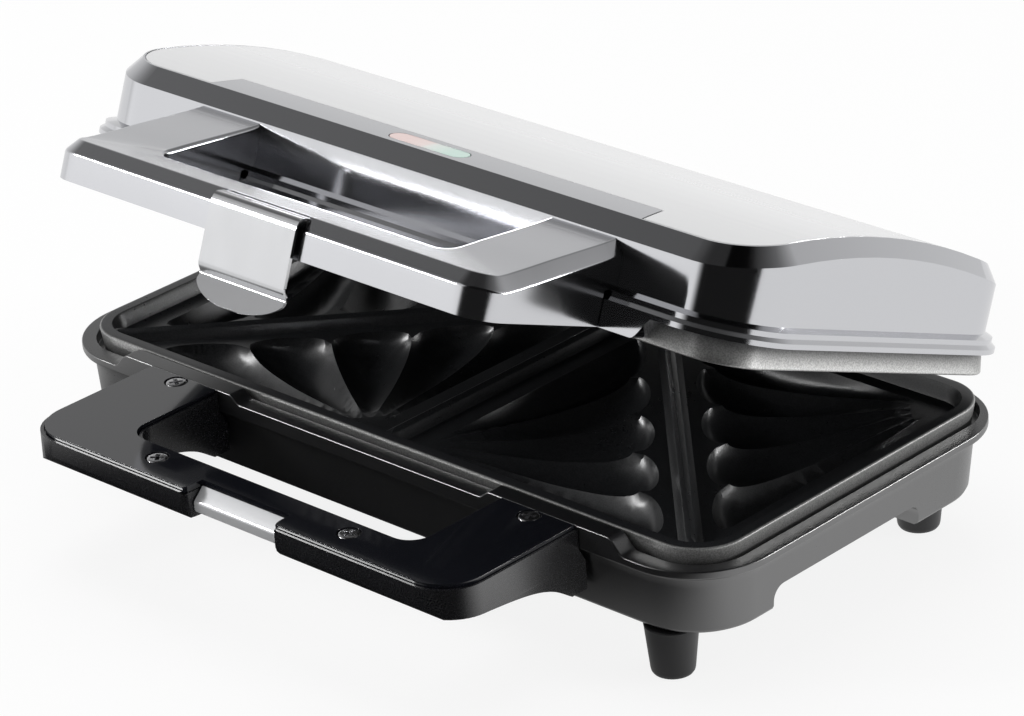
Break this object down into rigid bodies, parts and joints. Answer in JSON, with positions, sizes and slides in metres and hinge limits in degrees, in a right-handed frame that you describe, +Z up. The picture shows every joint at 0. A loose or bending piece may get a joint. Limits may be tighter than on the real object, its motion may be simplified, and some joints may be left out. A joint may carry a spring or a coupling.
{
  "type": "sandwich maker",
  "caption": "Hinged electric sandwich maker with scalloped cooking plates, U-shaped handles on lid and base, and a latch clip.",
  "frame": {"origin": "the middle of the rest pose's box, on the surface that the four feet stand on", "axes": "+X to the right as seen from the handles, +Y from the handles to the hinge, +Z up"},
  "size_m": [0.253, 0.194, 0.1211],
  "materials": {
    "housing_black": "satin black moulded plastic",
    "frame_black": "satin black moulded plastic",
    "cover_gloss_black": "polished black",
    "gland_black": "matt black",
    "foot_black": "satin black",
    "plate_non_stick": "cast, with a dark non-stick coating",
    "element_steel": "dull sheath round a packed heating wire",
    "reflector_aluminium": "bright sheet",
    "plate_screw_zinc": "zinc plated",
    "screw_steel": "darkened steel",
    "pin_steel": "plain ground steel",
    "catch_steel": "bright",
    "lid_chrome": "chrome plated plastic",
    "handle_chrome": "chrome plated plastic",
    "latch_chrome": "bright sheet metal",
    "panel_brushed": "fine brushed",
    "window_clear": "clear",
    "lamp_red": "pale red, unlit",
    "lamp_green": "pale green, unlit",
    "thermostat_steel": "plain",
    "fuse_sleeve": "woven sleeve",
    "terminal_white": "white"
  },
  "bodies": {
    "base": {"lower_housing": "housing_black", "lower_plate": "plate_non_stick", "lower_heating_element": "element_steel", "lower_reflector": "reflector_aluminium", "lower_plate_screw_front": "plate_screw_zinc", "lower_plate_screw_back": "plate_screw_zinc", "foot_front_right": "foot_black", "foot_front_left": "foot_black", "foot_back_right": "foot_black", "foot_back_left": "foot_black", "lower_handle_frame": "frame_black", "lower_handle_cover": "cover_gloss_black", "cover_screw_back_right": "screw_steel", "cover_screw_back_left": "screw_steel", "cover_screw_front_right": "screw_steel", "cover_screw_front_left": "screw_steel", "catch_plate": "catch_steel", "hinge_pin_right": "pin_steel", "hinge_pin_left": "pin_steel", "cord_gland": "gland_black"},
    "lid": {"lid_housing": "lid_chrome", "lid_top_panel": "panel_brushed", "upper_plate": "plate_non_stick", "upper_heating_element": "element_steel", "upper_reflector": "reflector_aluminium", "upper_plate_screw_front": "plate_screw_zinc", "upper_plate_screw_back": "plate_screw_zinc", "upper_handle": "handle_chrome", "indicator_window": "window_clear", "red_lamp": "lamp_red", "green_lamp": "lamp_green", "latch_pin": "pin_steel", "thermostat": "thermostat_steel", "thermal_fuse": "fuse_sleeve", "terminal_block": "terminal_white"},
    "latch": {"latch_clip": "latch_chrome"}
  },
  "joints": [
    {"name": "lid_hinge", "type": "hinge", "parent": "base", "child": "lid", "pos_m": [0, 0.0915, 0.0379], "axis": [-1, 0, 0], "range_deg": [-21.8, 78.2]},
    {"name": "latch_pivot", "type": "hinge", "parent": "lid", "child": "latch", "pos_m": [0, -0.07442, 0.1188], "axis": [-1, 0, 0], "range_deg": [-5, 60]}
  ]
}
